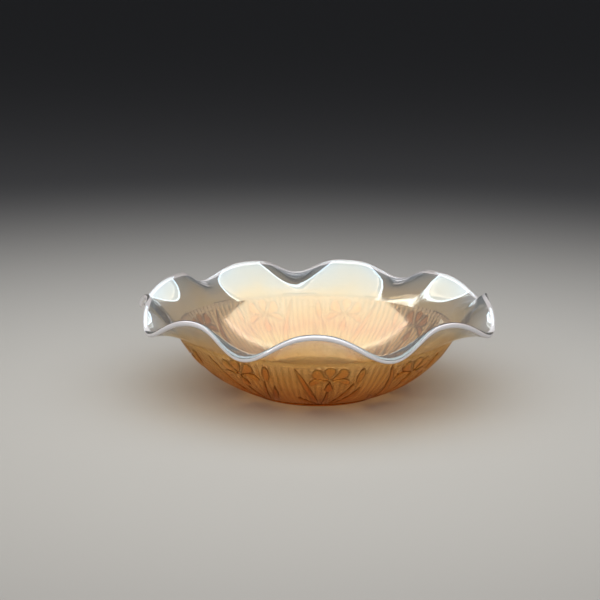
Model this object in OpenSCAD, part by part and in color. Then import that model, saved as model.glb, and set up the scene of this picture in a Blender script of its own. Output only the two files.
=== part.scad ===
// Ruffled carnival glass bowl.
// The bowl is one pressing of soda-lime glass, drawn here zone by zone in the order it is made: the
// mould presses the foot, base and patterned wall, then the plain collar is flared and crimped by hand
// and its edge is melted round. The zones meet face to face.
// Millimetres. The origin is on the table under the middle of the bowl, +Z is up, the front is -Y.
// Angles round the bowl are counted in degrees from the front, towards +X.

/* [Foot and base] */
// Diameter over the foot ring
foot_d = 109; // [96:1:131]
// Height of the foot ring
foot_h = 2.5; // [2:0.1:4]
// Width of the foot ring's section
foot_w = 4.6; // [3:0.1:8]
// Radius of the foot ring's two lower corners
foot_round = 0.8; // [0.3:0.1:1]
// Thickness of the base
base_t = 4; // [3.4:0.1:8]
// Rays of the star pressed under the base
star_rays = 24; // [12:1:36]
// Depth of the star's rays below the base
star_h = 0.8; // [0.4:0.1:1.5]
// Clear ring between the star and the foot ring
star_gap = 4; // [2:0.5:10]

/* [Patterned wall] */
// Diameter over the top edge of the patterned wall
wall_d = 229; // [190:1:255]
// Height of the patterned wall's top edge above the table
wall_h = 51.5; // [42:0.5:60]
// Radius of the wall's outward curve, foot to top edge
wall_curve = 98; // [80:1:160]
// Thickness of the glass in the wall
wall_t = 4.6; // [3.5:0.1:6]

/* [Pressed pattern] */
// Iris sprays round the wall
sprays = 9; // [6:1:11]
// Turn of the first spray from the front, in degrees
spray_turn = 6; // [-20:1:20]
// Herringbone ribs in each spray's share of the wall
ribs_per_spray = 15; // [9:1:18]
// Height of a rib above the wall
rib_h = 0.5; // [0.3:0.05:1]
// Height of leaves and stems above the wall
leaf_h = 0.8; // [0.4:0.05:1.5]
// Height of the irises' upright petals above the wall
petal_h = 0.8; // [0.4:0.05:1.5]
// Height of the irises' falling petals and of the buds above the wall
fall_h = 1.3; // [0.6:0.05:2]
// Width of an iris blossom
blossom_w = 29; // [22:1:32]
// Plain strip left between the ribs and the flowers
pattern_gap = 0.8; // [0.5:0.1:3]

/* [Collar and rim] */
// Mean diameter of the rim, along the middle of its edge
rim_d = 282; // [262:1:340]
// Mean height of the rim above the table
rim_h = 71; // [64:0.5:88]
// Thickness of the glass in the collar
collar_t = 4; // [3:0.1:5]
// How far the melted edge bulges past the collar on each side
bead_bulge = 0.35; // [0.1:0.05:1]
// Ruffles round the rim
ruffles = 9; // [5:1:11]
// How far a crest stands above the mean rim, and a trough hangs below it
ruffle_rise = 7.4; // [3:0.1:9]
// How far a trough leans out past the mean rim, and a crest leans in
ruffle_reach = 4.9; // [0:0.1:6]
// Flattening of the crests and sharpening of the troughs
crest_flat = 1.25; // [0:0.05:2]
// Where the first crest stands, in degrees from the front
crest_turn = 4.1; // [-20:0.1:20]
// Hand crimping: how far crests at the sides are pushed back, in degrees
side_drift = 4.9; // [-6:0.1:6]
// Hand crimping: how far crests at front and back are pushed aside, in degrees
front_drift = 4; // [-6:0.1:6]
// Hand flaring: how far the rim stands off the foot's axis, towards +X
rim_off_x = 0.5; // [-3:0.1:3]
// Hand flaring: how far the rim stands off the foot's axis, towards the front
rim_off_front = 1.2; // [-3:0.1:3]
// Hand crimping: how much taller the front crests stand, as a share of the rise
front_lift = 0.11; // [0:0.01:0.2]

/* [Hidden] */
$fn = 144;

// Colours
deep_amber = [0.66, 0.36, 0.12];
amber = [0.78, 0.47, 0.18];
honey = [0.87, 0.62, 0.30];
smoke_gold = [0.80, 0.74, 0.58];
pearl = [0.88, 0.87, 0.88];

// Steps of the collar's and the bead's meshes
steps_round = 144;
steps_out = 9;
steps_bead = 6;

// The wall's outer curve is an arc through the foot's edge and the wall's top edge, in (radius, height).
foot_edge = [foot_d / 2, foot_h];
wall_edge = [wall_d / 2, wall_h];
rise = wall_edge - foot_edge;
curve_c = (foot_edge + wall_edge) / 2
    + sqrt(pow(wall_curve, 2) - rise * rise / 4) * [-rise[1], rise[0]] / norm(rise);
foot_bearing = bearing(foot_edge - curve_c);
edge_bearing = bearing(wall_edge - curve_c);
inner_foot_edge = wall_point(0, -wall_t);
inner_wall_r = curve_c[0] + sqrt(pow(wall_curve - wall_t, 2) - pow(wall_h - curve_c[1], 2));

// Pattern
spray_pitch = 360 / sprays;
rib_pitch = spray_pitch / ribs_per_spray;
rib_share = 0.5; // width of a rib as a share of its pitch
rib_foot = 0.03; // where ribs begin and end, as shares of the way up the wall
rib_top = 0.985;
rib_cells = 40; // steps up the wall in which a rib is drawn or left out
shortest_run = 2; // fewest steps in a piece of rib

function bearing(v) = atan2(v[1], v[0]);
function mix(a, b, t) = a + (b - a) * t;
function unit(v) = v / norm(v);

// A point up the wall: s is 0 at the foot's edge and 1 at the top edge, out is measured off the glass.
function wall_bearing(s) = mix(foot_bearing, edge_bearing, s);
function wall_point(s, out = 0) =
    curve_c + (wall_curve + out) * [cos(wall_bearing(s)), sin(wall_bearing(s))];

// A point (radius, height) carried round the bowl to an angle from the front.
function carried(p, angle) = [p[0] * sin(angle), -p[0] * cos(angle), p[1]];
function on_wall(at) = carried(wall_point(at[1]), at[0]);
function out_of_wall(at) = carried([cos(wall_bearing(at[1])), sin(wall_bearing(at[1]))], at[0]);

// The strip of a meridian section between two distances off the wall, from share s0 to share s1.
module wall_strip(s0, s1, low, high) {
    reach = (wall_curve + high) / cos((wall_bearing(s1) - wall_bearing(s0)) / 2) + 1;
    translate(curve_c)
        intersection() {
            difference() {
                circle(r = wall_curve + high);
                circle(r = wall_curve + low);
            }
            polygon([
                [0, 0],
                reach * [cos(wall_bearing(s0)), sin(wall_bearing(s0))],
                reach * [cos(wall_bearing(s1)), sin(wall_bearing(s1))]
            ]);
        }
}

// ---- Foot, base and star ----

module base_disc() {
    color(amber)
        rotate_extrude()
            polygon([
                [0, foot_h], foot_edge, inner_foot_edge,
                [inner_foot_edge[0] - 3, foot_h + base_t], [0, foot_h + base_t]
            ]);
}

module base_star() {
    hub_r = 7;
    ray_r = foot_d / 2 - foot_w - star_gap;
    half_turn = 180 / star_rays;
    color(deep_amber)
        translate([0, 0, foot_h - star_h])
            linear_extrude(star_h) {
                circle(r = hub_r);
                for (k = [0:star_rays - 1])
                    rotate(k * 360 / star_rays)
                        polygon([
                            (hub_r - 1) * [cos(half_turn / 2), -sin(half_turn / 2)],
                            ray_r * [cos(half_turn / 2), -sin(half_turn / 2)],
                            [ray_r + 2, 0],
                            ray_r * [cos(half_turn / 2), sin(half_turn / 2)],
                            (hub_r - 1) * [cos(half_turn / 2), sin(half_turn / 2)]
                        ]);
            }
}

module foot_ring() {
    color(deep_amber)
        rotate_extrude()
            translate([foot_d / 2 - foot_w, 0]) {
                translate([0, foot_round])
                    square([foot_w, foot_h - foot_round]);
                translate([foot_round, 0])
                    square([foot_w - 2 * foot_round, foot_h]);
                for (x = [foot_round, foot_w - foot_round])
                    translate([x, foot_round])
                        circle(r = foot_round);
            }
}

// ---- Patterned wall ----

module patterned_wall() {
    past_edge = 0.3; // the strip runs past the top edge, and is cut level there
    color(amber, 0.85)
        rotate_extrude()
            intersection() {
                wall_strip(0, 1 + past_edge, -wall_t, 0);
                translate([foot_d / 4, 0])
                    square([wall_d / 2, wall_h]);
            }
}

// ---- Iris spray: each shape is placed by [angle from the spray's middle, share up the wall] ----

// The blossom
blossom_at = [0, 0.77];
petal_r = blossom_w * 0.31;
side_petal_r = blossom_w * 0.235;
fall_l = blossom_w * 0.56;
fall_w = blossom_w * 0.27;
fall_start = 0.5; // from the blossom's middle to the root of a fall
beard_w = 1.6;
curl_r = blossom_w * 0.1;

// Blades: root, tip and width
blades = [
    [[-4.5, 0.12], [-16.5, 0.93], 4.2],
    [[4, 0.10], [17, 0.62], 3.8],
    [[-5.5, 0.06], [-17, 0.40], 3.4]
];
// The blossom's stalk runs up to the tip of the fall above it, and laps it by a hair
stalk_lap = 0.08;
stalk_top = blossom_at[1]
    - asin((fall_start + fall_l - stalk_lap) / wall_curve) / (edge_bearing - foot_bearing);
// Stalks: root, tip and width
stalks = [
    [[-1.2, 0.05], [0, stalk_top], 2.4],
    [[2.6, 0.16], [12.6, 0.70], 1.8]
];
// The bud on the second stalk: root, tip and width
bud = [[12.5, 0.71], [13.5, 0.93], 5.4];

// A shape drawn on a flat sheet that touches the wall at a place, with its Y up the wall.
module sheet_at(at) {
    p = wall_point(at[1]);
    rotate([0, 0, at[0] - 90])
        translate([p[0], 0, p[1]])
            rotate([0, -wall_bearing(at[1]), 0])
                rotate([90, 0, 90])
                    children();
}

// The frame of a stroke: middle, direction along it, outward direction and direction across it.
function stroke_mid(s) = (on_wall(s[0]) + on_wall(s[1])) / 2;
function stroke_along(s) = unit(on_wall(s[1]) - on_wall(s[0]));
function stroke_out(s) = let (
        n = out_of_wall(mix(s[0], s[1], 0.5)),
        d = stroke_along(s)
    ) unit(n - (n * d) * d);
function stroke_across(s) = cross(stroke_along(s), stroke_out(s));
function stroke_length(s) = norm(on_wall(s[1]) - on_wall(s[0]));

module stroke_frame(s) {
    m = stroke_mid(s);
    x = stroke_across(s);
    y = stroke_along(s);
    z = stroke_out(s);
    multmatrix([[x[0], y[0], z[0], m[0]], [x[1], y[1], z[1], m[1]], [x[2], y[2], z[2], m[2]]])
        children();
}

// A leaf outline, pointed at both ends, along Y: half the width times 1 less the square of the share
// of the way from the middle to a tip.
module leaf_outline(length, width) {
    steps = 4;
    edge = [for (i = [-steps:steps]) let (t = i / steps) [width / 2 * (1 - t * t), t * length / 2]];
    polygon(concat(edge, [for (i = [2 * steps - 1:-1:1]) [-edge[i][0], edge[i][1]]]));
}

// Whatever is drawn through the wall, kept only where it stands off the glass by up to a height.
module pressed(height) {
    intersection() {
        rotate_extrude()
            wall_strip(0.005, 0.995, 0, height);
        children();
    }
}

// A flat outline carried through the wall, far enough to meet its curve behind and before the sheet.
module prism() {
    behind = 6;
    before = 10;
    translate([0, 0, -behind])
        linear_extrude(behind + before)
            children();
}

module each_spray() {
    for (k = [0:sprays - 1])
        rotate([0, 0, spray_turn + k * spray_pitch])
            children();
}

module petal_outlines() {
    translate([0, blossom_w * 0.14])
        circle(r = petal_r);
    for (side = [-1, 1])
        translate([side * blossom_w * 0.245, blossom_w * 0.13])
            circle(r = side_petal_r);
}

module fall_outlines() {
    for (lean = [-118, -180, 118])
        rotate(lean)
            translate([0, fall_l / 2 + fall_start])
                leaf_outline(fall_l, fall_w);
    translate([-blossom_w * 0.36, -blossom_w * 0.06])
        circle(r = curl_r);
}

module iris_petals() {
    color(honey)
        each_spray()
            pressed(petal_h)
                sheet_at(blossom_at)
                    prism()
                        difference() {
                            petal_outlines();
                            fall_outlines();
                        }
}

module iris_falls() {
    color(deep_amber)
        each_spray()
            pressed(fall_h)
                sheet_at(blossom_at)
                    prism()
                        fall_outlines();
}

module iris_buds() {
    color(honey)
        each_spray()
            pressed(fall_h)
                stroke_frame(bud)
                    prism()
                        leaf_outline(stroke_length(bud), bud[2]);
}

module iris_stems() {
    color(deep_amber)
        each_spray()
            pressed(leaf_h)
                for (s = stalks)
                    stroke_frame(s)
                        prism()
                            leaf_outline(stroke_length(s), s[2]);
}

module sword_leaves() {
    color(honey)
        each_spray()
            pressed(leaf_h)
                for (s = blades)
                    stroke_frame(s)
                        prism()
                            leaf_outline(stroke_length(s), s[2]);
}

// ---- Herringbone ribs, left out wherever a flower, stalk or leaf stands ----

strokes = concat(blades, stalks, [bud]);

function in_stroke(p, s) = let (v = p - stroke_mid(s), reach = stroke_length(s) / 2 + pattern_gap)
    abs(v * stroke_along(s)) < reach
    && abs(v * stroke_across(s)) < s[2] / 2 * (1 - pow(v * stroke_along(s) / reach, 2)) + pattern_gap;

function in_blossom(p) = let (
        v = p - on_wall(blossom_at),
        up = cross(out_of_wall(blossom_at), [1, 0, 0]),
        x = v[0] / (blossom_w / 2 + pattern_gap),
        y = (v * up) / (blossom_w * 0.54 + pattern_gap)
    ) x * x + y * y < 1;

function is_free(at) = let (p = on_wall(at))
    !in_blossom(p) && len([for (s = strokes) if (in_stroke(p, s)) 1]) == 0;

// A rib's place is free when both of its edges are clear, also of the next spray's leaves.
function rib_angle(c) = (c - (ribs_per_spray - 1) / 2) * rib_pitch;
function cell_share(i) = mix(rib_foot, rib_top, i / rib_cells);
function cell_free(angle, i) = i >= 0 && i < rib_cells
    && len([
        for (turn = [-spray_pitch, 0, spray_pitch], edge = [-1, 1], end = [0, 1])
            if (!is_free([angle + turn + edge * rib_pitch * rib_share / 2, cell_share(i + end)])) 1
    ]) == 0;
function run_end(angle, i) = cell_free(angle, i + 1) ? run_end(angle, i + 1) : i + 1;
function runs(angle) = [
    for (i = [0:rib_cells - 1])
        if (cell_free(angle, i) && !cell_free(angle, i - 1))
            let (end = run_end(angle, i))
                if (end - i >= shortest_run) [i, end]
];

module herringbone_ribs() {
    spray_runs = [for (c = [0:ribs_per_spray - 1], run = runs(rib_angle(c))) [rib_angle(c), run]];
    color(amber)
        for (k = [0:sprays - 1], piece = spray_runs)
            rotate([0, 0, spray_turn + k * spray_pitch + piece[0] - 90 - rib_pitch * rib_share / 2])
                rotate_extrude(angle = rib_pitch * rib_share)
                    wall_strip(cell_share(piece[1][0]), cell_share(piece[1][1]), 0, rib_h);
}

// ---- Collar and rim ----

// The ruffle at an angle from the front: 1 on a crest, -1 in a trough. Hand crimping shifts the crests.
function crimped(angle) = angle - side_drift * sin(angle) + front_drift * cos(angle) - crest_turn;
function ruffle(angle) = cos(ruffles * crimped(angle));
function rim_point(angle) = let (w = ruffle(angle)) [
    rim_d / 2 - ruffle_reach * w + rim_off_x * sin(angle) + rim_off_front * cos(angle),
    rim_h + ruffle_rise * w * (1 + front_lift * cos(angle))
        - crest_flat * cos(2 * ruffles * crimped(angle))
];

// Slopes of the collar where it leaves the wall and at its rim: crests stand up, troughs lie flat.
function slope_in(w) = 0.85 + 0.25 * w;
function slope_out(w) = 0.35 + 0.4 * w;

// Height on a smooth curve between two points that leaves and arrives at the given slopes.
function smooth(a, b, t, m0, m1) = let (d = b[0] - a[0])
    (2 * pow(t, 3) - 3 * t * t + 1) * a[1] + (pow(t, 3) - 2 * t * t + t) * m0 * d
    + (3 * t * t - 2 * pow(t, 3)) * b[1] + (pow(t, 3) - t * t) * m1 * d;
function collar_curve(a, b, w) = [
    for (i = [0:steps_out])
        let (t = i / steps_out) [mix(a[0], b[0], t), smooth(a, b, t, slope_in(w), slope_out(w))]
];

// The collar's two edges at the rim, half its thickness either side of the rim's middle.
bead_d = collar_t + 2 * bead_bulge;
function rim_normal(w) = unit([-slope_out(w), 1]);
function outer_rim(angle) = rim_point(angle) - collar_t / 2 * rim_normal(ruffle(angle));
function inner_rim(angle) = rim_point(angle) + collar_t / 2 * rim_normal(ruffle(angle));

function reversed(list) = [for (i = [len(list) - 1:-1:0]) list[i]];
function collar_section(angle) = let (w = ruffle(angle)) concat(
    collar_curve(wall_edge, outer_rim(angle), w),
    reversed(collar_curve([inner_wall_r, wall_h], inner_rim(angle), w))
);

// The bead's section closes the collar with an arc from its outer edge round to its inner one.
function bead_section(angle) = let (
        n = rim_normal(ruffle(angle)),
        out = [n[1], -n[0]],
        c = rim_point(angle) + sqrt(bead_d * bead_d - collar_t * collar_t) / 2 * out,
        half = 180 - asin(collar_t / bead_d)
    ) concat(
        [outer_rim(angle)],
        [
            for (i = [1:steps_bead - 1])
                let (a = mix(-half, half, i / steps_bead)) c + bead_d / 2 * (cos(a) * out + sin(a) * n)
        ],
        [inner_rim(angle)]
    );

// One closed section for each step round the bowl, joined by triangles. The two ways of cutting the
// squares let a pair of such solids share a face.
module swept_ring(sections, cut_other_way = false) {
    n = len(sections);
    k = len(sections[0]);
    points = [for (j = [0:n - 1], p = sections[j]) carried(p, j * 360 / n)];
    faces = [
        for (j = [0:n - 1], i = [0:k - 1])
            let (
                a = j * k + i,
                b = j * k + (i + 1) % k,
                c = ((j + 1) % n) * k + (i + 1) % k,
                d = ((j + 1) % n) * k + i
            )
            each cut_other_way ? [[a, b, d], [b, c, d]] : [[a, b, c], [a, c, d]]
    ];
    polyhedron(points, faces);
}

module flared_collar() {
    color(smoke_gold, 0.8)
        swept_ring([for (j = [0:steps_round - 1]) collar_section(j * 360 / steps_round)]);
}

module rim_bead() {
    color(pearl)
        swept_ring([for (j = [0:steps_round - 1]) bead_section(j * 360 / steps_round)], true);
}

base_disc();
base_star();
foot_ring();
patterned_wall();
herringbone_ribs();
iris_petals();
iris_falls();
iris_buds();
iris_stems();
sword_leaves();
flared_collar();
rim_bead();
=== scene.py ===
# %% [markdown]
# A ruffled carnival glass bowl
#
# The real bowl is one pressing of soda-lime glass. A mould gives it the foot, the base and the
# patterned wall, then the plain collar above the wall is flared and crimped by hand while it is
# still soft, and its cut edge is melted round. Last, the hot glass is sprayed with metal salts,
# which leave a lustre film far thinner than a hair. The film does nearly all of the work here: it
# is amber to look through, and it shines in pale blue, cream and peach.
#
# The CAD model gives every zone its place and size. This script makes each zone again as fine glass
# with the relief that the mould leaves, and gives it the film.

# %% The frame
import math
import bpy
import numpy as np
from mathutils import Matrix, Vector


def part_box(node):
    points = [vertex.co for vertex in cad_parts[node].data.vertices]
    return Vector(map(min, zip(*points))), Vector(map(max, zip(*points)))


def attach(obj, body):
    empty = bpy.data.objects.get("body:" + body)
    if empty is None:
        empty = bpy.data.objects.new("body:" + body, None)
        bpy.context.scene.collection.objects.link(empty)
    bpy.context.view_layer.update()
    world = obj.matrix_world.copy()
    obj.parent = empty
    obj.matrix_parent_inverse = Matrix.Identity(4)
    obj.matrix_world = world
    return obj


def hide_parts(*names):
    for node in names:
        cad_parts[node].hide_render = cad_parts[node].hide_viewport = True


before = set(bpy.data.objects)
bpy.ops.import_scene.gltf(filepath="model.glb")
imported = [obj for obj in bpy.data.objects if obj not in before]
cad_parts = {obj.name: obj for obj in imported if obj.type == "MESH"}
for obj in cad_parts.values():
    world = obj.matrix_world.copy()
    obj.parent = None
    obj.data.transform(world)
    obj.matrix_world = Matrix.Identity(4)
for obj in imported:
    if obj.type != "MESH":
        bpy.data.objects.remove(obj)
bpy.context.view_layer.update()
MM = 0.001

# %% [markdown]
# The bowl's section
#
# A pressed bowl is a turned shape, so it is described by its section, as radius and height. The wall
# is an arc between two points that the CAD nodes give: the edge of the foot and the top edge of the
# wall. Angles round the bowl are counted from the front, which is -Y, towards +X.

# %% The wall's arc
WALL_CURVE = 98 * MM
WALL_T = 4.6 * MM
foot_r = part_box("foot_ring")[1][0]
foot_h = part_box("foot_ring")[1][2]
wall_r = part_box("patterned_wall")[1][0]
wall_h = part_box("patterned_wall")[1][2]
chord = np.array([wall_r - foot_r, wall_h - foot_h])
chord_length = np.hypot(*chord)
across_chord = np.array([-chord[1], chord[0]]) / chord_length
curve_c = (np.array([foot_r + wall_r, foot_h + wall_h]) / 2
           + math.sqrt(WALL_CURVE**2 - chord_length**2 / 4) * across_chord)
foot_bearing = math.atan2(foot_h - curve_c[1], foot_r - curve_c[0])
edge_bearing = math.atan2(wall_h - curve_c[1], wall_r - curve_c[0])
inner_edge_bearing = math.asin((wall_h - curve_c[1]) / (WALL_CURVE - WALL_T))
arc_length = WALL_CURVE * (edge_bearing - foot_bearing)


def wall_point(share, out=0.0, last_bearing=edge_bearing):
    """Radius and height of a point up the wall: the arc's bearing goes evenly from the foot's edge
    (share 0) to the last bearing (share 1), at the arc's radius plus the distance off the glass."""
    bearing = foot_bearing + (last_bearing - foot_bearing) * share
    return (curve_c[0] + (WALL_CURVE + out) * np.cos(bearing),
            curve_c[1] + (WALL_CURVE + out) * np.sin(bearing))


print(f"wall: {arc_length / MM:.1f} mm from foot to top edge, glass {WALL_T / MM} mm thick")

# %% [markdown]
# The ruffled rim
#
# The rim is a wave with nine crests. It was made by hand, so the crests are not quite evenly spaced
# or equally tall: the angle that goes into the wave is first shifted by a slow sine and cosine. A
# crest stands up and leans in, and a trough hangs down and leans out, as the soft glass did.

# %% The rim's wave
RUFFLES = 9
RIM_R = 141 * MM
RIM_H = 71 * MM
RISE = 7.4 * MM
REACH = 4.9 * MM
CREST_FLAT = 1.25 * MM
CREST_TURN = math.radians(4.1)
SIDE_DRIFT = math.radians(4.9)
FRONT_DRIFT = math.radians(4.0)
FRONT_LIFT = 0.11
RIM_OFF = (0.5 * MM, 1.2 * MM)  # towards +X and towards the front
COLLAR_T = 4 * MM
BEAD_BULGE = 0.35 * MM


def crimped(turn):
    """The angle after crimping: less a share of its sine, plus a share of its cosine, less the
    angle at which the first crest stands."""
    return turn - SIDE_DRIFT * np.sin(turn) + FRONT_DRIFT * np.cos(turn) - CREST_TURN


def ruffle(turn):
    """1 on a crest and -1 in a trough: the cosine of the crimped angle times the ruffles."""
    return np.cos(RUFFLES * crimped(turn))


def rim_middle(turn):
    """Radius and height of the rim: the mean radius less the reach times the wave, and the mean
    height plus the rise times the wave, with a second harmonic that flattens the crests."""
    wave = ruffle(turn)
    radius = RIM_R - REACH * wave + RIM_OFF[0] * np.sin(turn) + RIM_OFF[1] * np.cos(turn)
    height = (RIM_H + RISE * wave * (1 + FRONT_LIFT * np.cos(turn))
              - CREST_FLAT * np.cos(2 * RUFFLES * crimped(turn)))
    return radius, height


def wall_slope(turn):
    """Slope of the collar where it leaves the wall, a little steeper under crests."""
    return 0.85 + 0.25 * ruffle(turn)


def rim_slope(turn):
    """Slope of the collar at the rim, much steeper on crests."""
    return 0.35 + 0.4 * ruffle(turn)


def rim_offset(turn, off):
    """A point off the rim's middle, along the collar's normal there: (-slope, 1) made unit length."""
    radius, height = rim_middle(turn)
    slope = rim_slope(turn)
    size = np.hypot(slope, 1)
    return radius - off * slope / size, height + off / size


print(f"rim: {RUFFLES} ruffles, {RIM_R / MM:.0f} mm from the axis and {RIM_H / MM:.0f} mm up")

# %% [markdown]
# From numbers to a mesh
#
# Every piece below is a grid of points, worked out whole with numpy. The functions here carry a
# closed section round the bowl and put points and faces into Blender. Faces are turned outwards by
# the sign of the volume that they enclose, so no piece can end up inside out.
#
# Where two zones of the one glass meet there is no surface at all in the real bowl. The pieces need
# closed meshes, so such faces stay, with a material of their own that lets everything straight
# through.

# %% Mesh helpers
GLASS, INSIDE, JOIN = 0, 1, 2  # material slots: outer surface, inner surface, glass that goes on
SHARP_EDGE = math.radians(38)


def signed_volume(points, faces):
    """A sixth of the sum of triple products over the triangles of each face."""
    total = 0.0
    for k in range(1, faces.shape[1] - 1):
        a, b, c = (points[faces[:, i]] for i in (0, k, k + 1))
        total += np.einsum("ij,ij->i", a, np.cross(b, c)).sum() / 6
    return total


def make_piece(name, points, faces, slots, caps=(), **attributes):
    """A mesh object from points and four-cornered faces, with a slot number for each face. caps
    are rings of points that each close a pole with one flat face, and faces that come with caps
    have to point outwards already."""
    sign = 1 if signed_volume(points, faces) > 0 or caps else -1
    corners = [list(face[::sign]) for face in faces.tolist()] + [list(ring) for ring, _ in caps]
    mesh = bpy.data.meshes.new(name)
    mesh.from_pydata(points.tolist(), [], corners)
    mesh.polygons.foreach_set("material_index", list(slots) + [slot for _, slot in caps])
    for label, values in attributes.items():
        layer = mesh.attributes.new(label, "FLOAT", "POINT")
        layer.data.foreach_set("value", np.asarray(values, np.float32).ravel())
    mesh.shade_smooth()
    mesh.set_sharp_from_angle(angle=SHARP_EDGE)
    mesh.update()
    piece = bpy.data.objects.new(name, mesh)
    bpy.context.scene.collection.objects.link(piece)
    print(f"{name}: {len(points)} points, {len(corners)} faces")
    return piece


def turned(radius, height, turn):
    """Points from radius, height and angle from the front: (r sin, -r cos, z)."""
    return np.stack([radius * np.sin(turn), -radius * np.cos(turn), height + 0 * turn], -1)


def ring_faces(around, along):
    """Four-cornered faces of a grid that closes on itself both ways, as a torus does: each joins
    a point, the next one round, the one after it along, and the one back."""
    i, j = np.meshgrid(np.arange(around), np.arange(along), indexing="ij")
    i2, j2 = (i + 1) % around, (j + 1) % along
    return np.stack([i * along + j, i2 * along + j, i2 * along + j2, i * along + j2], -1).reshape(-1, 4)


def swept(name, turns, sections, slots, **attributes):
    """A closed section carried round the bowl. sections holds radius and height for every angle
    and every point of the section, and slots a slot number for each stretch of the section."""
    radius, height = sections
    points = turned(radius, height, turns[:, None])
    faces = ring_faces(*radius.shape)
    return make_piece(name, points.reshape(-1, 3), faces, np.tile(slots, len(turns)), **attributes)


def full_turn(steps):
    """Evenly spaced angles once round the bowl."""
    return np.arange(steps) / steps * 2 * math.pi


def runs(*pairs):
    """Slot numbers for a section, from pairs of a slot and how many stretches have it."""
    return np.concatenate([np.full(count, slot) for slot, count in pairs])


# %% [markdown]
# The flared collar and the melted rim
#
# Seen from above, the collar carries the wave: nothing at the wall's edge, all of it at the rim. Its
# two surfaces are cubic curves that leave the wall and reach the rim at set slopes, which is how
# soft glass bends between a held edge and a crimped one. The rim is drawn as most of a circle that
# bulges a little past the collar on both sides, because surface tension rounds a melted edge.

# %% The collar
COLLAR_STEPS = 28
RIM_STEPS = 720
collar_turns = full_turn(RIM_STEPS)


def cubic(start, end, slope_start, slope_end, share):
    """Height on the cubic between two (radius, height) points with set slopes at its ends."""
    span = end[0] - start[0]
    s2, s3 = share**2, share**3
    return ((2 * s3 - 3 * s2 + 1) * start[1] + (s3 - 2 * s2 + share) * slope_start * span
            + (3 * s2 - 2 * s3) * end[1] + (s3 - s2) * slope_end * span)


def collar_side(turns, start, off):
    """One surface of the collar: radius goes evenly from the wall to the rim, height by the cubic."""
    share = np.linspace(0, 1, COLLAR_STEPS + 1)[None, :]
    turn = turns[:, None]
    end = rim_offset(turn, off)
    radius = start[0] + (end[0] - start[0]) * share
    return radius, cubic(start, end, wall_slope(turn), rim_slope(turn), share)


inner_wall_r = float(wall_point(1.0, -WALL_T, inner_edge_bearing)[0])
outside = collar_side(collar_turns, (wall_r, wall_h), -COLLAR_T / 2)
inside = collar_side(collar_turns, (inner_wall_r, wall_h), COLLAR_T / 2)
collar = swept(
    "flared_collar_glass", collar_turns,
    [np.concatenate([a, b[:, ::-1]], 1) for a, b in zip(outside, inside)],
    runs((GLASS, COLLAR_STEPS), (JOIN, 1), (INSIDE, COLLAR_STEPS), (JOIN, 1)),
)

# %% The melted rim
BEAD_STEPS = 14
BEAD_INNER_STEPS = 6  # this much of the bead faces into the bowl
bead_r = COLLAR_T / 2 + BEAD_BULGE
turn = collar_turns[:, None]
half_open = math.pi - math.asin(COLLAR_T / 2 / bead_r)
bead_angle = np.linspace(-half_open, half_open, BEAD_STEPS + 1)[None, :]
bead_shift = math.sqrt(bead_r**2 - (COLLAR_T / 2) ** 2)
slope = rim_slope(turn)
size = np.hypot(slope, 1)
out_by = bead_shift + bead_r * np.cos(bead_angle)
up_by = bead_r * np.sin(bead_angle)
middle = rim_middle(turn)
bead = swept(
    "rim_bead_glass", collar_turns,
    (middle[0] + (out_by - up_by * slope) / size, middle[1] + (out_by * slope + up_by) / size),
    runs((GLASS, BEAD_STEPS - BEAD_INNER_STEPS), (INSIDE, BEAD_INNER_STEPS), (JOIN, 1)),
)

# %% [markdown]
# Where the flowers stand
#
# Nine sprays stand round the wall, all alike: an iris of three standing petals and three falling
# ones, the kind that pattern makers draw from the garden, with a bud, two stalks and three blades.
# Each is a stroke from a root to a tip on the unrolled wall, with a profile that says how wide it is
# along the way. One table serves twice: it shapes the petals, and it keeps the herringbone off them.

# %% The strokes of a spray
SPRAYS = 9
FIRST_SPRAY = math.radians(6)
PETAL_START = 1.5 * MM  # petals start this far from the flower's heart
blossom_at = (0.0, 0.77)
spray_pitch = 2 * math.pi / SPRAYS


def lens(u):
    """Pointed at both ends: the parabola 4u(1 - u), which is 1 in the middle, to the power 0.75."""
    return (4 * u * (1 - u)) ** 0.75


def spoon(u):
    """Narrow at the root and round at the tip: a flattened sine that leans towards the tip, times a
    straight rise from 0.35 to 1."""
    return np.sin(math.pi * u**1.5) ** 0.55 * (0.35 + 0.65 * u)


def laid(root, tip, width, bow=0.0):
    """A leaf or stalk from root to tip, each as degrees from the spray's middle and share up the
    wall, with its width in mm and its bow as a share of its length."""
    (a0, s0), (a1, s1) = root, tip
    reach = (math.radians(a1 - a0) * wall_point((s0 + s1) / 2)[0], (s1 - s0) * arc_length)
    return root, (0.0, 0.0), reach, width * MM, lens, bow


def fan(lean, length, width, bow=0.0):
    """A petal that leans by an angle from straight up, with its length and width in mm."""
    ray = np.array([math.sin(math.radians(lean)), math.cos(math.radians(lean))])
    return blossom_at, ray * PETAL_START, ray * length * MM, width * MM, spoon, bow


blades = [laid((-4.5, 0.12), (-16.5, 0.93), 4.2, 0.04), laid((4, 0.10), (17, 0.62), 3.8, 0.04),
          laid((-5.5, 0.06), (-17, 0.40), 3.4, 0.04)]
stalks = [laid((-1.2, 0.05), (0, 0.56), 2.4), laid((2.6, 0.16), (12.6, 0.70), 1.8)]
bud = laid((12.5, 0.71), (13.5, 0.93), 5.4)
standing = [fan(-2, 15, 11), fan(-46, 17.5, 12, -0.14), fan(44, 17.5, 12, 0.14)]
falling = [fan(-110, 16.5, 7.8, 0.16), fan(180, 16.5, 7.8), fan(108, 16.5, 7.8, -0.16)]


def smooth_step(x):
    """0 below 0, 1 above 1, and 3x^2 - 2x^3 between."""
    x = np.clip(x, 0, 1)
    return x * x * (3 - 2 * x)


def spray_angle(turns):
    """Angle from the middle of the nearest spray."""
    return (turns - FIRST_SPRAY + spray_pitch / 2) % spray_pitch - spray_pitch / 2


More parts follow.
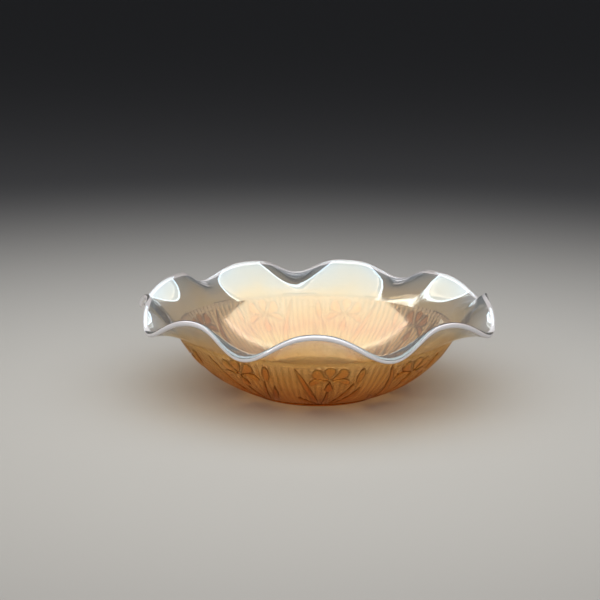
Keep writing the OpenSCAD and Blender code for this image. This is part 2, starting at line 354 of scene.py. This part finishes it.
def stroke_frame(root, tip):
    """Length of a stroke, and the directions along it and across it to its right."""
    along = np.subtract(tip, root)
    length = np.hypot(*along)
    along = along / length
    return length, along, np.array([along[1], -along[0]])


def clear_of(shape, angle, share):
    """Distance on the unrolled wall from a stroke's bowed middle line, less its half width."""
    (a0, s0), root, tip, width, profile, bow = shape
    length, along, side = stroke_frame(root, tip)
    x = (angle - math.radians(a0)) * wall_point(share)[0] - root[0]
    y = (share - s0) * arc_length - root[1]
    ahead = x * along[0] + y * along[1]
    u = np.clip(ahead / length, 0, 1)
    aside = x * side[0] + y * side[1] - bow * length * 4 * u * (1 - u)
    return np.hypot(aside, ahead - u * length) - width / 2 * profile(u)


def flower_gap(turns, share):
    """Distance on the unrolled wall from the nearest petal, leaf or stalk, negative under it."""
    angle = spray_angle(turns)
    return np.min([clear_of(shape, angle + shift, share)
                   for shape in blades + stalks + [bud] + standing + falling
                   for shift in (-spray_pitch, 0, spray_pitch)], axis=0)


print(len(blades + stalks + standing + falling) + 1, "strokes in each of", SPRAYS, "sprays")

# %% [markdown]
# The patterned wall and its herringbone skin
#
# The inside of the wall is smooth, shaped by the plunger, and the outside takes the mould's pattern.
# The wall is the plain body, and the skin is a layer on it, less than a millimetre thick, that
# carries a herringbone: upright bands, each with slanted ridges that change direction at the band's
# middle. Bump could draw it, but real ridges catch the light at the bowl's edge as well.
# The ridges fade out round the flowers, so the flowers stand on plain glass. An attribute tells the
# material where to paint shade: light on high glass, dark in the hollows and in a line round the
# flowers.

# %% The herringbone skin
BANDS = 135
STEPS_PER_BAND = 6
RIDGE_PITCH = 3.4 * MM
BAND_H = 0.34 * MM
RIDGE_H = 0.42 * MM
SKIN_T = 0.06 * MM
SKIN_ROWS = 100
BACK_ROWS = 13
CHEVRON_LEAN = 0.45  # rise of a ridge across half a band, as a share of the band's width
FOOT_END, TOP_END = 0.03, 0.012  # the relief fades over these shares of the wall
PLAIN_STRIP = 0.2 * MM  # plain glass round the flowers, then the ridges rise over the next strip
RIDGES_RISE = 1.2 * MM
LINE_W = 1.1 * MM  # half width of the painted dark line of shade round the flowers
HOLLOW_SHADE = 0.15  # brightness of the painted shade between ridges, where 1 is the top of a ridge
PLAIN_SHADE = 0.55  # brightness of the painted shade on the plain glass round the flowers
FOOT_FADE, TOP_FADE = 0.05, 0.08  # the painted shade fades out over these shares of the wall
wall_turns = full_turn(BANDS * STEPS_PER_BAND)


def herringbone(turns, share):
    """Height off the wall: a cosine-squared band across each column, plus cosine ridges whose phase
    rises with distance from the band's middle, so that they form chevrons. The ridges keep 0.35 of
    their height between bands."""
    column = (turns * BANDS / (2 * math.pi)) % 1
    aside = np.abs(2 * column - 1)
    band = np.cos(math.pi / 2 * aside) ** 2
    width = 2 * math.pi / BANDS * wall_point(share)[0]
    climb = share * arc_length + aside * width * CHEVRON_LEAN
    ridge = 0.5 + 0.5 * np.cos(2 * math.pi * climb / RIDGE_PITCH)
    ends = smooth_step(share / FOOT_END) * smooth_step((1 - share) / TOP_END)
    return (BAND_H * band + RIDGE_H * ridge * (0.35 + 0.65 * band)) * ends


rows = np.linspace(0, 1, SKIN_ROWS + 1)[None, :]
grid_turns = wall_turns[:, None]
gap = flower_gap(grid_turns, rows)
open_wall = smooth_step((gap - PLAIN_STRIP) / RIDGES_RISE)
relief = herringbone(grid_turns, rows) * open_wall
# Painted shade, as a brightness: the ridges' height on open wall, so that the hollows come out
# dark, and a dark line round the flowers, both fading out towards the foot and the top edge
ridges = HOLLOW_SHADE + (1 - HOLLOW_SHADE) * relief / (BAND_H + RIDGE_H)
outline = np.exp(-((gap / LINE_W) ** 2))
painted_shade_map = ridges * open_wall + PLAIN_SHADE * (1 - outline) * (1 - open_wall)
painted_shade_map = 1 - (1 - painted_shade_map) * smooth_step((1 - rows) / TOP_FADE) * smooth_step(rows / FOOT_FADE)
back_shape = (len(wall_turns), BACK_ROWS)
front = wall_point(rows, SKIN_T + relief)
back = wall_point(np.linspace(1, 0, BACK_ROWS)[None, :])
# The relief attribute carries this painted shade to the material
skin = swept(
    "herringbone_ribs_glass", wall_turns,
    [np.concatenate([f, np.broadcast_to(b, back_shape)], 1) for f, b in zip(front, back)],
    runs((GLASS, SKIN_ROWS), (JOIN, BACK_ROWS + 1)),
    relief=np.concatenate([painted_shade_map, np.ones(back_shape)], 1),
)
print(f"relief: up to {(SKIN_T + relief.max()) / MM:.2f} mm off the wall")

# %% [markdown]
# The wall's body
#
# The plunger leaves the inside of the wall smooth, so the body is a plain turned arc. It could be
# spun from a curve, but the same sweep as the collar's keeps the slots of its faces in one place.

# %% The wall's body
PLAIN_STEPS = 360  # steps round the zones that no pattern crosses
BODY_STEPS = 48
plain_turns = full_turn(PLAIN_STEPS)
body_outer = wall_point(np.linspace(0, 1, BACK_ROWS))
body_inner = wall_point(np.linspace(1, 0, BODY_STEPS + 1), -WALL_T, inner_edge_bearing)
wall = swept(
    "patterned_wall_glass", plain_turns,
    [np.tile(np.concatenate([a, b]), (PLAIN_STEPS, 1)) for a, b in zip(body_outer, body_inner)],
    runs((JOIN, BACK_ROWS), (INSIDE, BODY_STEPS), (JOIN, 1)),
)

# %% [markdown]
# The base and the foot
#
# The base closes the bottom of the wall, and the bowl stands on the foot ring under it. The base's
# upper side is level and turns up smoothly into the wall, as a power of the radius. The foot's lower
# corners are round, because pressed glass never fills a sharp corner of the mould.

# %% Base disc
FOOT_W = 4.6 * MM
DISH_POWER = 14  # the upper side is level until close to the wall, then turns up as this power
POLE_R = 0.6 * MM  # one flat face closes each side inside this radius
TOP_STEPS = 39
UNDER_STEPS = 11
inner_foot = [float(x) for x in wall_point(0.0, -WALL_T)]
top_r = np.linspace(inner_foot[0], POLE_R, TOP_STEPS + 1)
rim_slope_in = math.tan(foot_bearing + math.pi / 2)
dish_rise = rim_slope_in * inner_foot[0] / DISH_POWER
top_z = inner_foot[1] - dish_rise * (1 - (top_r / inner_foot[0]) ** DISH_POWER)
foot_inner_r = foot_r - FOOT_W
under_r = np.concatenate([np.linspace(POLE_R, foot_inner_r, UNDER_STEPS + 1), [foot_r]])
base_r = np.concatenate([under_r, top_r])
base_z = np.concatenate([np.full(len(under_r), foot_h), top_z])
n_base = len(base_r)
base_points = turned(*(np.tile(line, (PLAIN_STEPS, 1)) for line in (base_r, base_z)),
                     plain_turns[:, None])
base_faces = ring_faces(PLAIN_STEPS, n_base)
kept = base_faces[:, 0] % n_base != n_base - 1  # no faces across the poles
base_slots = np.tile(runs((GLASS, UNDER_STEPS), (JOIN, 2), (INSIDE, TOP_STEPS), (GLASS, 1)),
                     PLAIN_STEPS)
first_ring = np.arange(PLAIN_STEPS) * n_base
base = make_piece(
    "base_disc_glass", base_points.reshape(-1, 3), base_faces[kept], base_slots[kept],
    caps=[(first_ring[::-1].tolist(), GLASS), ((first_ring + n_base - 1).tolist(), INSIDE)],
)

# %% Foot ring
FOOT_ROUND = 0.8 * MM
CORNER_STEPS = 6
corner = np.linspace(0, math.pi / 2, CORNER_STEPS + 1)
low, high = FOOT_ROUND * (1 - np.cos(corner)), FOOT_ROUND * (1 - np.sin(corner))
foot_section = (np.concatenate([[foot_inner_r], foot_inner_r + low, foot_r - high, [foot_r]]),
                np.concatenate([[foot_h], high, low, [foot_h]]))
foot = swept(
    "foot_ring_glass", plain_turns,
    [np.tile(line, (PLAIN_STEPS, 1)) for line in foot_section],
    runs((GLASS, len(foot_section[0]) - 1), (JOIN, 1)),
)

# %% [markdown]
# The pressed irises
#
# Each petal, bud, stalk and blade is a thin domed solid that lies on the skin, made from its stroke
# in the table above and a height that says how far it swells. They could be sculpted, but in a
# pressed pattern all nine sprays are alike, so one recipe draws them all. The unrolled points are
# carried onto the wall, where across is an angle and along is a share of the arc.

# %% One recipe for petals and leaves
GAP = 0.05 * MM  # the pieces stand this far off the skin, so that no two surfaces share a place
EDGE_H = 0.12 * MM  # height of a petal at its border
END_U = 0.02  # a stroke stops this far short of its points, so that no face shrinks to nothing
VEIN_W = 0.16  # width of the groove down a petal's middle, as a share of its half width


def sheet_solid(x, y, height):
    """Closes a grid of unrolled points into a solid: the grid at its height, the same grid at the
    gap, and a strip round its border. Returns points as (x, y, off) and faces."""
    m, n = x.shape
    top = np.stack([x, y, height], -1).reshape(-1, 3)
    low = np.stack([x, y, np.zeros_like(x)], -1).reshape(-1, 3)
    i, j = np.meshgrid(np.arange(m - 1), np.arange(n - 1), indexing="ij")
    quad = np.stack([i * n + j, (i + 1) * n + j, (i + 1) * n + j + 1, i * n + j + 1], -1).reshape(-1, 4)
    border = np.concatenate([
        np.arange(n - 1), np.arange(m - 1) * n + n - 1,
        (m - 1) * n + np.arange(n - 1, 0, -1), np.arange(m - 1, 0, -1) * n,
    ])
    after = np.roll(border, -1)
    strip = np.stack([border, after, after + m * n, border + m * n], -1)
    return np.concatenate([top, low]), np.concatenate([quad, quad[:, ::-1] + m * n, strip])


def stroke(shape, high, vein=0.0, steps=(26, 10)):
    """A petal or leaf on the unrolled wall, with its place. Along it, u goes from 0 to 1, closer
    together at the ends, and across it, v goes from -1 to 1. The width is the profile at u, and the
    height is a dome, (1 - v^2)^0.6 times a quick rise at both ends, less a groove down the middle
    that is as deep as vein says. steps are the points along and half the steps across."""
    place, root, tip, width, profile, bow = shape
    u = ((1 - np.cos(np.linspace(END_U, 1 - END_U, steps[0]) * math.pi)) / 2)[:, None]
    v = np.linspace(-1, 1, 2 * steps[1] + 1)[None, :]
    length, along, side = stroke_frame(root, tip)
    aside = v * width / 2 * profile(u) + bow * length * 4 * u * (1 - u)
    x = root[0] + along[0] * u * length + side[0] * aside
    y = root[1] + along[1] * u * length + side[1] * aside
    dome = (1 - v * v) ** 0.6 * np.clip(8 * u * (1 - u), 0, 1) ** 0.5
    middle = 1 - vein * np.exp(-((v / VEIN_W) ** 2))
    return place, sheet_solid(x, y, EDGE_H + (high - EDGE_H) * dome * middle)


def on_bowl(name, parts):
    """Carries unrolled solids onto the wall, once for each spray. Each part is its place, as angle
    and share, with its points and faces. The relief attribute is the square of the share of the full
    height, so that the edges come out dark with painted shade, and 1 on the back."""
    all_points, all_faces, all_relief, count = [], [], [], 0
    for (at_angle, at_share), (flat, faces) in parts:
        share = at_share + flat[:, 1] / arc_length
        radius, height = wall_point(share, SKIN_T + GAP + flat[:, 2])
        for k in range(SPRAYS):
            angle = FIRST_SPRAY + k * spray_pitch + math.radians(at_angle) + flat[:, 0] / radius
            points = np.stack([radius * np.sin(angle), -radius * np.cos(angle), height], -1)
            sign = 1 if signed_volume(points, faces) > 0 else -1
            all_points.append(points)
            all_faces.append(faces[:, ::sign] + count)
            # Painted shade: the attribute falls off with height, so the edges come out dark
            all_relief.append(np.where(flat[:, 2] > 0, (flat[:, 2] / flat[:, 2].max()) ** 2, 1.0))
            count += len(points)
    points, faces = np.concatenate(all_points), np.concatenate(all_faces)
    return make_piece(name, points, faces, np.zeros(len(faces), int),
                      relief=np.concatenate(all_relief))


# %% Leaves, stalks, buds and blossoms
LEAF_H = 0.8 * MM
PETAL_H = 0.9 * MM
FALL_H = 1.3 * MM
leaves = on_bowl("sword_leaves_glass", [stroke(shape, LEAF_H, vein=0.35) for shape in blades])
stems = on_bowl("iris_stems_glass", [stroke(shape, LEAF_H) for shape in stalks])
buds = on_bowl("iris_buds_glass", [stroke(bud, FALL_H, vein=0.3)])
petals = on_bowl("iris_petals_glass", [stroke(shape, PETAL_H, vein=0.35) for shape in standing])
falls = on_bowl("iris_falls_glass", [stroke(shape, FALL_H, vein=0.3) for shape in falling])

# %% [markdown]
# The star under the base
#
# The mould leaves a star of tapered rays, each with a sharp ridge, which the foot ring holds just
# clear of the table. One ray is made flat, with the helper that makes petals, and turned round.

# %% The rayed star
RAYS = 24
STAR_H = 0.8 * MM
STAR_GAP = 4 * MM  # clear ring between the star and the foot
HUB_R = 5 * MM
RAY_FILL = 0.55  # width of a ray as a share of its pitch
RAY_EDGE = 0.1 * MM
STAR_OFF = 0.03 * MM  # the star hangs this far clear of the base
RAY_RIDGE = STAR_H - 0.05 * MM  # a little under the star's height, to stay inside the CAD's star
RAY_TAPER = 0.14  # share of a ray over which it narrows to its tip
RAY_TIP = 0.08  # width of the tip as a share of the ray's
RAY_STEPS = 8
ray_share = np.linspace(0, 1, RAY_STEPS + 1)[:, None]
ray_side = np.linspace(-1, 1, RAY_STEPS + 1)[None, :]
ray_r = HUB_R + (foot_inner_r - STAR_GAP - HUB_R) * ray_share + 0 * ray_side
taper = 1 - (1 - RAY_TIP) * smooth_step((ray_share - 1 + RAY_TAPER) / RAY_TAPER)
ray_w = math.pi / RAYS * RAY_FILL * ray_r * taper * ray_side
ray_h = RAY_EDGE + (RAY_RIDGE - RAY_EDGE) * (1 - np.abs(ray_side)) + 0 * ray_share
ray_flat, ray_faces = sheet_solid(ray_w, ray_r, ray_h)
star_points, star_faces = [], []
for k in range(RAYS):
    angle = k * 2 * math.pi / RAYS
    x, y, low = ray_flat.T
    points = np.stack([x * math.cos(angle) + y * math.sin(angle),
                       x * math.sin(angle) - y * math.cos(angle), foot_h - STAR_OFF - low], -1)
    sign = 1 if signed_volume(points, ray_faces) > 0 else -1
    star_points.append(points)
    star_faces.append(ray_faces[:, ::sign] + k * len(ray_flat))
star_points, star_faces = np.concatenate(star_points), np.concatenate(star_faces)
star = make_piece("base_star_glass", star_points, star_faces, np.zeros(len(star_faces), int))

# %% [markdown]
# Glass with a lustre film
#
# The glass is clear soda-lime, with a refractive index of 1.52. The film on it is metal oxide, whose
# index is about 2.1. Blender's Principled shader has both: transmission makes the glass, and its
# thin film works out the interference colours from the film's thickness in nanometres. A film
# reflects best at four times its thickness times its index, so 55 nm gives blue and 75 nm orange.
#
# The film is also what makes the bowl amber. It lies thick on the patterned wall and thins out on
# the collar, which was stretched after it was pressed, so the tint and the thickness both follow
# the distance from the middle, with slow clouds of noise, because the salts were sprayed by hand.
# On the pressed outside the tint also darkens towards the foot, partly as painted shade.
#
# Light that falls through glass on a table is hardly ever found by path tracing, so rays that
# look for lamps pass straight through, tinted about half as deeply as the glass, because the film
# also scatters some of that light.

# %% Material helpers
def rgb(code):
    """Linear colour from an sRGB hex value."""
    values = [int(code[i:i + 2], 16) / 255 for i in (1, 3, 5)]
    return [v / 12.92 if v <= 0.04045 else ((v + 0.055) / 1.055) ** 2.4 for v in values] + [1.0]


def add_node(tree, kind, inputs=None, **settings):
    """Adds a node, sets its own settings, and sets or links its inputs by name or number."""
    node = tree.nodes.new(kind)
    for name, value in settings.items():
        setattr(node, name, value)
    for name, value in (inputs or {}).items():
        if isinstance(value, bpy.types.NodeSocket):
            tree.links.new(value, node.inputs[name])
        else:
            node.inputs[name].default_value = value
    return node


def new_material(name):
    """A material with an empty node tree and its output."""
    material = bpy.data.materials.new(name)
    material.use_nodes = True
    material.node_tree.nodes.clear()
    return material, material.node_tree


def ramp(tree, factor, stops):
    """A colour ramp through (place, hex colour) stops."""
    node = add_node(tree, "ShaderNodeValToRGB", {"Fac": factor})
    for k, (place, code) in enumerate(stops):
        element = node.color_ramp.elements[k] if k < 2 else node.color_ramp.elements.new(place)
        element.position = place
        element.color = rgb(code)
    return node.outputs["Color"]


# %% The lustre glass
GLASS_IOR = 1.52
FILM_IOR = 2.1
CLOUDS = 45 * MM  # size of the slow clouds in the sprayed film
CLOUD_DRIFT = 0.18  # how far a cloud moves the tint, as a share of the way to the rim
# Shares of the way to the rim over which the wall's milk and roughness become the collar's
COLLAR_FROM, COLLAR_TO = 0.7, 0.92
SMOOTH_FROM, SMOOTH_TO = 0.65, 0.85
SCATTERED = "#b4b0aa"  # light that the film scatters on its way through, and how much of it
SCATTER_SHARE = 0.45


def lustre_glass(name, tints, shine, film, roughness, wave_mm, wave_depth_mm, milk, relief=None):
    """Clear glass under a sprayed metal-salt film. tints and shine are ramp stops for what goes
    through and what comes back, and film a pair of thicknesses in nm, all from the middle of the
    bowl (0) to the rim (1). roughness and milk, the share of light that the film scatters, are
    pairs for the wall and the collar. wave_mm is the size of the slow waves in the glass. relief
    is the value of the relief attribute below which the tint gets painted shade, and the colour
    that multiplies the tint where the attribute is 0, the deepest painted shade. A piece without
    the attribute reads 0 there and takes the full painted shade."""
    material, tree = new_material(name)
    place = add_node(tree, "ShaderNodeTexCoord").outputs["Object"]
    flat = add_node(tree, "ShaderNodeVectorMath", {0: place, 1: (1, 1, 0)}, operation="MULTIPLY")
    far = add_node(tree, "ShaderNodeVectorMath", {0: flat.outputs[0]}, operation="LENGTH")
    clouds = add_node(tree, "ShaderNodeTexNoise", {
        "Vector": place, "Scale": 1 / CLOUDS, "Detail": 3.0})
    share = add_node(tree, "ShaderNodeMapRange", {
        "Value": far.outputs["Value"], "From Min": 0.0, "From Max": RIM_R})
    drift = add_node(tree, "ShaderNodeMath", {
        0: clouds.outputs["Fac"], 1: CLOUD_DRIFT, 2: share.outputs[0]}, operation="MULTIPLY_ADD")
    centred = add_node(tree, "ShaderNodeMath", {0: drift.outputs[0], 1: CLOUD_DRIFT / 2},
                       operation="SUBTRACT")
    tint = ramp(tree, centred.outputs[0], tints)
    lustre = ramp(tree, centred.outputs[0], shine)
    # Painted shade: the tint is multiplied towards the dark colour where the relief attribute is low
    if relief:
        low, dark = relief
        height = add_node(tree, "ShaderNodeAttribute", attribute_name="relief")
        painted_shade_share = add_node(tree, "ShaderNodeMapRange", {
            "Value": height.outputs["Fac"], "From Min": 0.0, "From Max": low,
            "To Min": 1.0, "To Max": 0.0})
        tint = add_node(tree, "ShaderNodeMix", {
            "Factor": painted_shade_share.outputs[0], "A": tint, "B": rgb(dark)}, data_type="RGBA",
            blend_type="MULTIPLY").outputs["Result"]
    thickness = add_node(tree, "ShaderNodeMapRange", {
        "Value": centred.outputs[0], "From Min": 0.0, "From Max": 1.0,
        "To Min": film[0], "To Max": film[1]})
    clarity = add_node(tree, "ShaderNodeMapRange", {
        "Value": centred.outputs[0], "From Min": COLLAR_FROM, "From Max": COLLAR_TO,
        "To Min": 1 - milk[0], "To Max": 1 - milk[1]})
    waves = add_node(tree, "ShaderNodeTexNoise", {
        "Vector": place, "Scale": 1 / (wave_mm * MM), "Detail": 2.0})
    bump = add_node(tree, "ShaderNodeBump", {
        "Height": waves.outputs["Fac"], "Distance": wave_depth_mm * MM, "Strength": 1.0})
    rough = add_node(tree, "ShaderNodeMapRange", {
        "Value": centred.outputs[0], "From Min": SMOOTH_FROM, "From Max": SMOOTH_TO,
        "To Min": roughness[0], "To Max": roughness[1]})
    glass = add_node(tree, "ShaderNodeBsdfPrincipled", {
        "Base Color": tint, "Roughness": rough.outputs[0], "IOR": GLASS_IOR,
        "Transmission Weight": clarity.outputs[0], "Thin Film Thickness": thickness.outputs[0],
        "Thin Film IOR": FILM_IOR, "Specular Tint": lustre, "Normal": bump.outputs[0]})
    lamp = add_node(tree, "ShaderNodeLightPath")
    cast = add_node(tree, "ShaderNodeMix", {
        "Factor": SCATTER_SHARE, "A": tint, "B": rgb(SCATTERED)}, data_type="RGBA").outputs["Result"]
    clear = add_node(tree, "ShaderNodeBsdfTransparent", {"Color": cast})
    shown = add_node(tree, "ShaderNodeMixShader", {
        "Fac": lamp.outputs["Is Shadow Ray"], 1: glass.outputs[0], 2: clear.outputs[0]})
    add_node(tree, "ShaderNodeOutputMaterial", {"Surface": shown.outputs[0]})
    return material


# %% The four glasses
# Fire-polished inside of the bowl: sprayed directly, so it has the brightest lustre
inside_glass = lustre_glass(
    "soda_lime_glass_lustre_inside",
    [(0.0, "#e8c89c"), (0.45, "#e2d2b6"), (0.7, "#e2d8c8"), (0.84, "#e8e4e0"), (1.0, "#e2e8ec")],
    [(0.0, "#ffe4b4"), (0.5, "#ffeac4"), (0.58, "#ffe6bc"), (0.66, "#f8c6aa"), (0.72, "#fde2c0"),
     (0.78, "#fdf4dc"), (0.84, "#dcecf0"), (1.0, "#cfe0ee")],
    film=(90, 60), roughness=(0.17, 0.04), wave_mm=16, wave_depth_mm=0.09, milk=(0.2, 0.06))
# Plain outside of the collar, stretched by hand: a thin film with slow waves in it
collar_glass = lustre_glass(
    "soda_lime_glass_lustre_collar",
    [(0.0, "#f0bc60"), (0.81, "#e8ac50"), (0.88, "#eabc74"), (0.95, "#e6d6b4"), (1.0, "#e4e4e2")],
    [(0.0, "#f8c074"), (0.8, "#fad080"), (1.0, "#f2ead6")],
    film=(95, 62), roughness=(0.06, 0.03), wave_mm=14, wave_depth_mm=0.05, milk=(0.06, 0.03))
# Pressed outside: painted shade darkens the mould's hollows, and the amber tint darkens towards the
# foot, partly as painted shade
pressed_glass = lustre_glass(
    "soda_lime_glass_lustre_pressed",
    [(0.0, "#d07830"), (0.4, "#d88036"), (0.6, "#e48e40"), (0.74, "#ea9c4a"), (0.81, "#eeb870")],
    [(0.0, "#f09040"), (0.6, "#f8a850"), (0.82, "#fcc878")],
    film=(112, 82), roughness=(0.07, 0.05), wave_mm=9, wave_depth_mm=0.03, milk=(0.14, 0.1),
    relief=(0.6, "#64300e"))
# Melted edge: a silvery film on glass that surface tension has made very smooth
rim_glass = lustre_glass(
    "soda_lime_glass_melted_rim",
    [(0.0, "#f4f0f0"), (0.9, "#fcf8f9"), (1.0, "#f8f4f8")],
    [(0.0, "#fffaf4"), (1.0, "#fffdff")],
    film=(60, 48), roughness=(0.08, 0.14), wave_mm=20, wave_depth_mm=0.04, milk=(0.8, 0.8))

print("lustre glasses:", [m.name for m in (inside_glass, collar_glass, pressed_glass, rim_glass)])

# %% [markdown]
# Where the glass goes on
#
# A Transparent shader lets light pass unbent, which is what solid glass does where one zone runs
# into the next. A glass shader here would show a false surface inside the wall.

# %% Where the glass goes on
join_glass, join_tree = new_material("glass_goes_on")
join_shader = add_node(join_tree, "ShaderNodeBsdfTransparent", {"Color": (1, 1, 1, 1)})
add_node(join_tree, "ShaderNodeOutputMaterial", {"Surface": join_shader.outputs[0]})
print("see-through material:", join_glass.name)

# %% [markdown]
# Which piece stands for which node
#
# Every piece belongs to the one body, because the bowl has nothing that moves. Each stands for one
# CAD node, whose imported part it hides, and has three materials: its own outside, the inside of
# the bowl, and the one for glass that goes on.

# %% Fittings
fittings = [
    (base, ["base_disc"], "base_glass", pressed_glass),
    (star, ["base_star"], "base_glass", pressed_glass),
    (foot, ["foot_ring"], "base_glass", pressed_glass),
    (wall, ["patterned_wall"], "wall_glass", pressed_glass),
    (skin, ["herringbone_ribs"], "relief_glass", pressed_glass),
    (petals, ["iris_petals"], "relief_glass", pressed_glass),
    (falls, ["iris_falls"], "relief_glass", pressed_glass),
    (buds, ["iris_buds"], "relief_glass", pressed_glass),
    (stems, ["iris_stems"], "relief_glass", pressed_glass),
    (leaves, ["sword_leaves"], "relief_glass", pressed_glass),
    (collar, ["flared_collar"], "collar_glass", collar_glass),
    (bead, ["rim_bead"], "rim_glass", rim_glass),
]
for piece, nodes, slot, outer in fittings:
    for material in (outer, inside_glass, join_glass):
        piece.data.materials.append(material)
    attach(piece, "root")
    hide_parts(*nodes)
print(len(fittings), "glass pieces")

# %% [markdown]
# The floor
#
# Glass shows what is round it, so the room is part of its look. The floor is matt paper with a
# painted pool of light: pale under the bowl, it falls away to a quiet grey and so lets the clear
# rim stand out.

# %% Floor
FLOOR_R = 9.0
FLOOR_STEPS = 128
PALE_TO, GREY_FROM = 0.15, 1.1  # metres from the bowl's middle
floor_points = np.concatenate([[[0, 0, 0]], turned(FLOOR_R, 0.0, full_turn(FLOOR_STEPS))])
floor_mesh = bpy.data.meshes.new("floor")
floor_mesh.from_pydata(floor_points.tolist(), [],
                       [[0, k + 1, (k + 1) % FLOOR_STEPS + 1] for k in range(FLOOR_STEPS)])
floor = bpy.data.objects.new("floor", floor_mesh)
bpy.context.scene.collection.objects.link(floor)
paper, paper_tree = new_material("matt_paper_sweep")
paper_place = add_node(paper_tree, "ShaderNodeTexCoord").outputs["Object"]
paper_far = add_node(paper_tree, "ShaderNodeVectorMath", {0: paper_place}, operation="LENGTH")
paper_share = add_node(paper_tree, "ShaderNodeMapRange", {
    "Value": paper_far.outputs["Value"], "From Min": PALE_TO, "From Max": GREY_FROM},
    interpolation_type="SMOOTHSTEP")
# Painted pool of light: the paper's colour is pale near the bowl and darker grey further out
paper_painted_light_pool = ramp(paper_tree, paper_share.outputs[0], [(0.0, "#a3a29f"), (1.0, "#48484a")])
paper_shader = add_node(paper_tree, "ShaderNodeBsdfPrincipled", {
    "Base Color": paper_painted_light_pool, "Roughness": 0.9, "Specular IOR Level": 0.1})
add_node(paper_tree, "ShaderNodeOutputMaterial", {"Surface": paper_shader.outputs[0]})
floor_mesh.materials.append(paper)
print("floor:", 2 * FLOOR_R, "m across")

# %% [markdown]
# The light
#
# One large soft box hangs overhead: its reflection is the bright sheet inside the bowl. A brighter
# strip along its rear edge gives that sheet the thin white border round the scallops. A small lamp
# in front, at the left, picks sparks out of the relief, and a weak box in front lights the rim.


# %% Light
def looking(place, aim, roll=0.0):
    """A matrix at place that looks along its own -Z at aim, rolled about that line."""
    turn = (Vector(aim) - Vector(place)).to_track_quat("-Z", "Y").to_matrix().to_4x4()
    return Matrix.Translation(place) @ turn @ Matrix.Rotation(roll, 4, "Z")


def soft_box(name, size, place, aim, power, tint):
    """A rectangular area light that points from its place to an aim."""
    light = bpy.data.lights.new(name, "AREA")
    light.shape = "RECTANGLE"
    light.size, light.size_y = size
    light.energy = power
    light.color = rgb(tint)[:3]
    lamp = bpy.data.objects.new(name, light)
    lamp.matrix_world = looking(place, aim)
    lamp.visible_camera = False
    bpy.context.scene.collection.objects.link(lamp)
    print(f"{name}: {size[0]} x {size[1]} m, {power} W")


LIGHT_H = 0.95
BOWL = (0, 0, 0.05)  # what the lamps in front aim at
soft_box("overhead_soft_box", (2.3, 1.7), (0, -0.4, LIGHT_H), (0, -0.4, 0), 26, "#fffcf8")
soft_box("rear_edge_strip", (2.3, 0.08), (0, 0.48, LIGHT_H), (0, 0.48, 0), 2.6, "#f4f8ff")
soft_box("key_lamp", (0.22, 0.22), (-0.75, -1.5, 0.85), BOWL, 3, "#fff6ea")
soft_box("front_soft_box", (1.8, 0.7), (0, -2.1, 0.9), BOWL, 5, "#fffdfa")
world = bpy.data.worlds.new("quiet_grey_room")
world.use_nodes = True
room = world.node_tree.nodes["Background"].inputs
room["Color"].default_value = rgb("#8a8c90")
room["Strength"].default_value = 0.5
bpy.context.scene.world = world

# %% [markdown]
# The camera
#
# It stands in front and a little above, with a long lens, so the ruffle's front crest and the bright
# inside are both seen. Light crosses many glass surfaces here, so paths are let run long.

# %% Camera
CAMERA_UP = math.radians(13.66)
CAMERA_FAR = 1.418
CAMERA_ROLL = math.radians(0.75)
LENS_MM = 104
SHIFT = (-0.0277, 0.0062)  # moves the bowl a little off the middle of the picture
CLEAR_BOUNCES = 48  # straight through faces where the glass goes on
GLASS_BOUNCES = 20
AIM = (0, 0, 0.071)
camera_place = (0, -CAMERA_FAR * math.cos(CAMERA_UP), AIM[2] + CAMERA_FAR * math.sin(CAMERA_UP))
camera_data = bpy.data.cameras.new("camera")
camera_data.lens = LENS_MM
camera_data.shift_x, camera_data.shift_y = SHIFT
camera = bpy.data.objects.new("camera", camera_data)
camera.matrix_world = looking(camera_place, AIM, CAMERA_ROLL)
scene = bpy.context.scene
scene.collection.objects.link(camera)
scene.camera = camera
scene.view_settings.view_transform = "Standard"
scene.cycles.transparent_max_bounces = CLEAR_BOUNCES
scene.cycles.max_bounces = GLASS_BOUNCES
scene.cycles.transmission_bounces = GLASS_BOUNCES
print("camera:", [round(x, 3) for x in camera_place])
